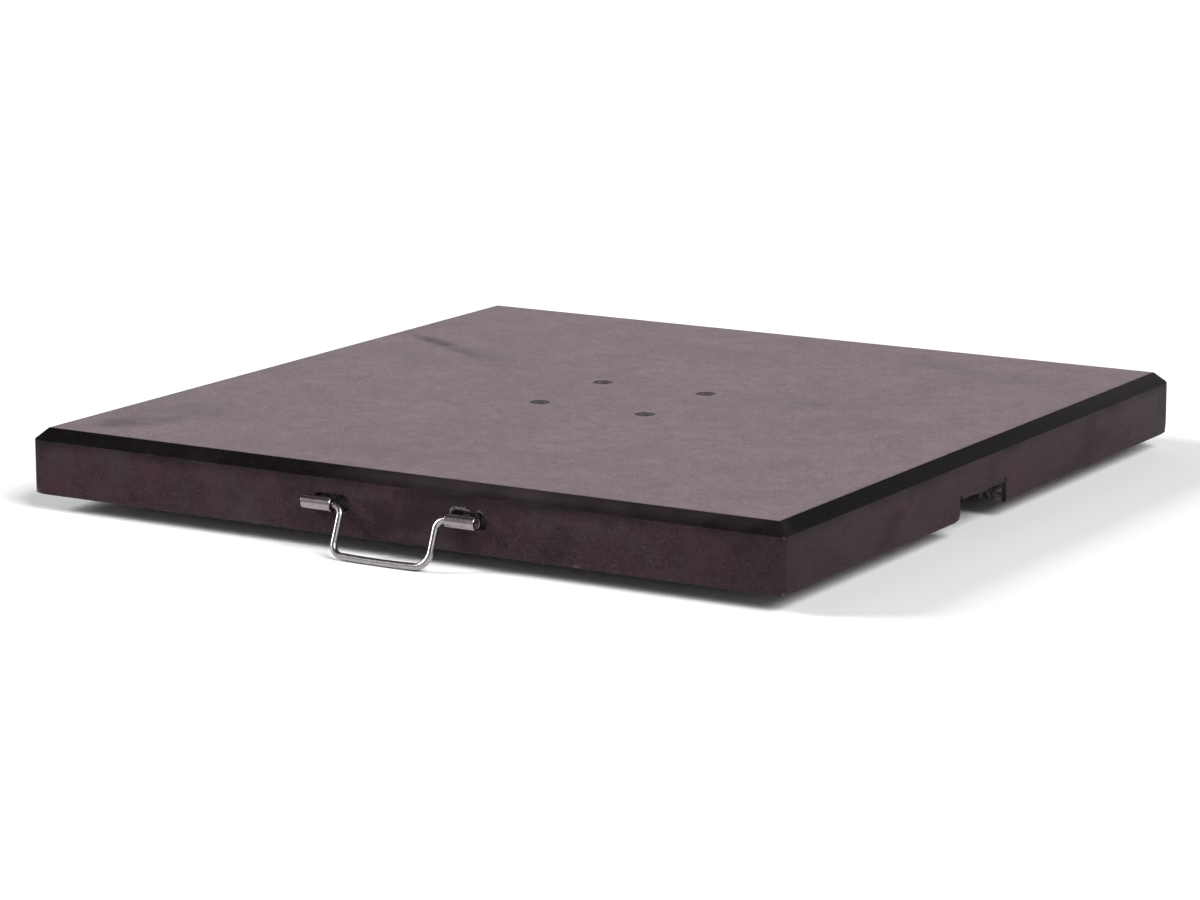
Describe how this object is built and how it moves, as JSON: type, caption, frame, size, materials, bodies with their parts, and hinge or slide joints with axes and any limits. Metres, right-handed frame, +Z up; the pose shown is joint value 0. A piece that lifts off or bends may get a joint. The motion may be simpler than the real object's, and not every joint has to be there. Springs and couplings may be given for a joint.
{
  "type": "granite parasol base plate",
  "caption": "Square granite ballast plate on rubber feet, bevelled on top, with bolt holes for a mast flange, hand recesses and swinging wire bails.",
  "frame": {"origin": "on the floor, under the middle of the plate", "axes": "+Z up; the front, where the bail in view hangs, is -Y; +X is to the right seen from the front"},
  "size_m": [0.75, 0.8016, 0.0735],
  "materials": {
    "granite": "honed top, polished bevel, sawn edges",
    "stainless": "drawn, lightly polished",
    "resin": "cast anchor resin",
    "rubber": "moulded, matt",
    "nylon": "moulded"
  },
  "bodies": {
    "plate": {"granite_slab": "granite", "front_left_sleeve": "stainless", "front_left_stud": "stainless", "front_left_resin": "resin", "front_right_sleeve": "stainless", "front_right_stud": "stainless", "front_right_resin": "resin", "back_left_sleeve": "stainless", "back_left_stud": "stainless", "back_left_resin": "resin", "back_right_sleeve": "stainless", "back_right_stud": "stainless", "back_right_resin": "resin", "foot_front_left": "rubber", "foot_washer_front_left": "stainless", "foot_screw_front_left": "stainless", "foot_plug_front_left": "nylon", "foot_front_right": "rubber", "foot_washer_front_right": "stainless", "foot_screw_front_right": "stainless", "foot_plug_front_right": "nylon", "foot_back_left": "rubber", "foot_washer_back_left": "stainless", "foot_screw_back_left": "stainless", "foot_plug_back_left": "nylon", "foot_back_right": "rubber", "foot_washer_back_right": "stainless", "foot_screw_back_right": "stainless", "foot_plug_back_right": "nylon"},
    "front_bail_body": {"front_bail": "stainless"},
    "back_bail_body": {"back_bail": "stainless"}
  },
  "joints": [
    {"name": "front_bail_swing", "type": "hinge", "parent": "plate", "child": "front_bail_body", "pos_m": [0.006, -0.3815, 0.0427], "axis": [-1, 0, 0], "range_deg": [-29.5, 166]},
    {"name": "back_bail_swing", "type": "hinge", "parent": "plate", "child": "back_bail_body", "pos_m": [-0.006, 0.3815, 0.0427], "axis": [1, 0, 0], "range_deg": [-29.5, 166]}
  ]
}
